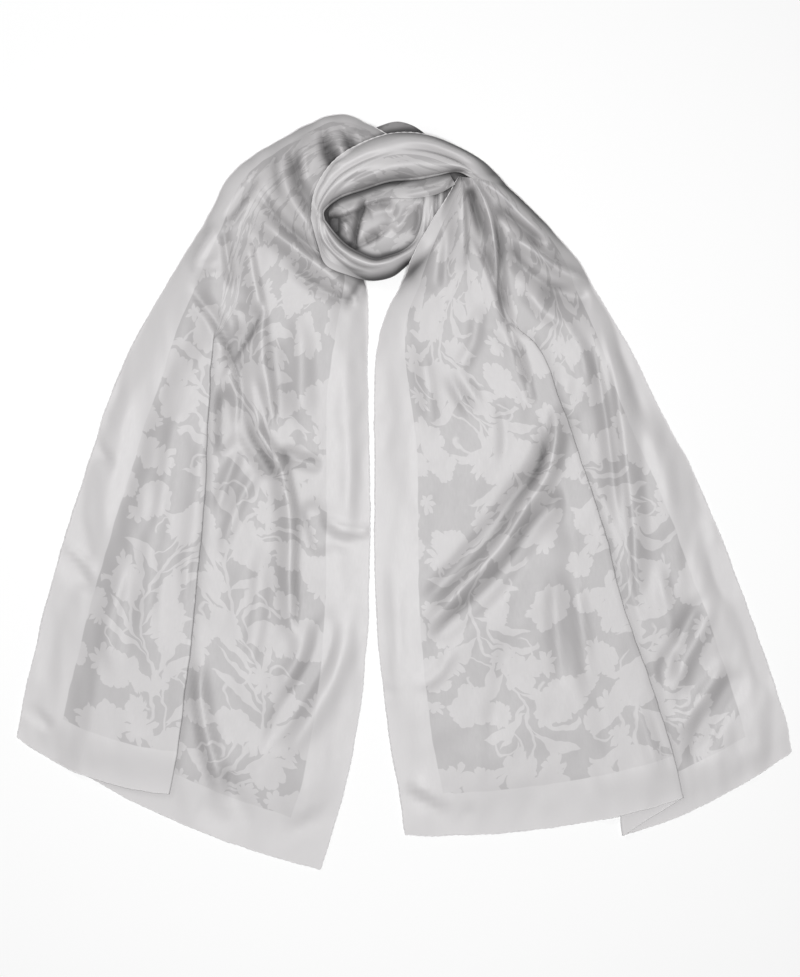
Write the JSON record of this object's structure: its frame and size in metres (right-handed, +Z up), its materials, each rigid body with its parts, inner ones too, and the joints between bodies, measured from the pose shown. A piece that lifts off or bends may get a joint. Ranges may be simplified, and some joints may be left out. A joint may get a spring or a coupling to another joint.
{
  "type": "silk shawl",
  "caption": "Oblong silk shawl laid flat, wound into one loop, with two tails that fan out, each with a folded pleat and a rolled hem.",
  "frame": {"origin": "on the surface the shawl lies on, under the middle of its outline", "axes": "+Z up from the surface, +Y from the hems towards the loop, +X to the right as seen from above"},
  "size_m": [0.9287, 0.9068, 0.0445],
  "materials": {
    "silk": "satin silk with a tonal pattern and a paler border"
  },
  "bodies": {
    "root": {"left_tail": "silk", "right_tail": "silk", "band": "silk", "ring": "silk", "tuck": "silk", "inner_swirl": "silk", "loop_behind": "silk", "hidden_layers": "silk"}
  },
  "joints": []
}
